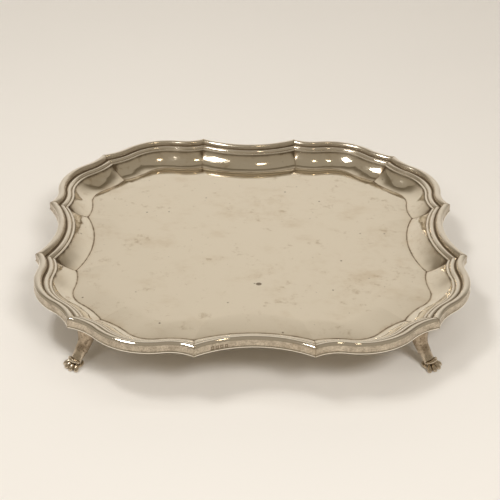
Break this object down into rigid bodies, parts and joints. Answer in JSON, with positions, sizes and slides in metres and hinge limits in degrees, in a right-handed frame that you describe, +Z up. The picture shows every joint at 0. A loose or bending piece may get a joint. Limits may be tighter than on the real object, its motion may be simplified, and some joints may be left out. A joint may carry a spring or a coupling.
{
  "type": "footed salver",
  "caption": "Square salver with a shaped, moulded border and a hollow-curved bowl round a flat well, on cast paw feet.",
  "frame": {"origin": "on the ground under the middle of the tray", "axes": "+Z up; +X to the right and -Y to the front, each square to a side of the tray"},
  "size_m": [0.305, 0.305, 0.0395],
  "materials": {
    "plate_silver": "polished, worn, light tarnish",
    "moulding_silver": "polished crests, tarnished grooves",
    "foot_silver": "cast, satin, tarnished"
  },
  "bodies": {
    "root": {"foot_back_left": "foot_silver", "foot_back_right": "foot_silver", "foot_front_left": "foot_silver", "foot_front_right": "foot_silver", "moulding_back": "moulding_silver", "moulding_back_left": "moulding_silver", "moulding_back_right": "moulding_silver", "moulding_front": "moulding_silver", "moulding_front_left": "moulding_silver", "moulding_front_right": "moulding_silver", "moulding_left": "moulding_silver", "moulding_left_back": "moulding_silver", "moulding_left_front": "moulding_silver", "moulding_right": "moulding_silver", "moulding_right_back": "moulding_silver", "moulding_right_front": "moulding_silver", "pan": "plate_silver"}
  },
  "joints": []
}
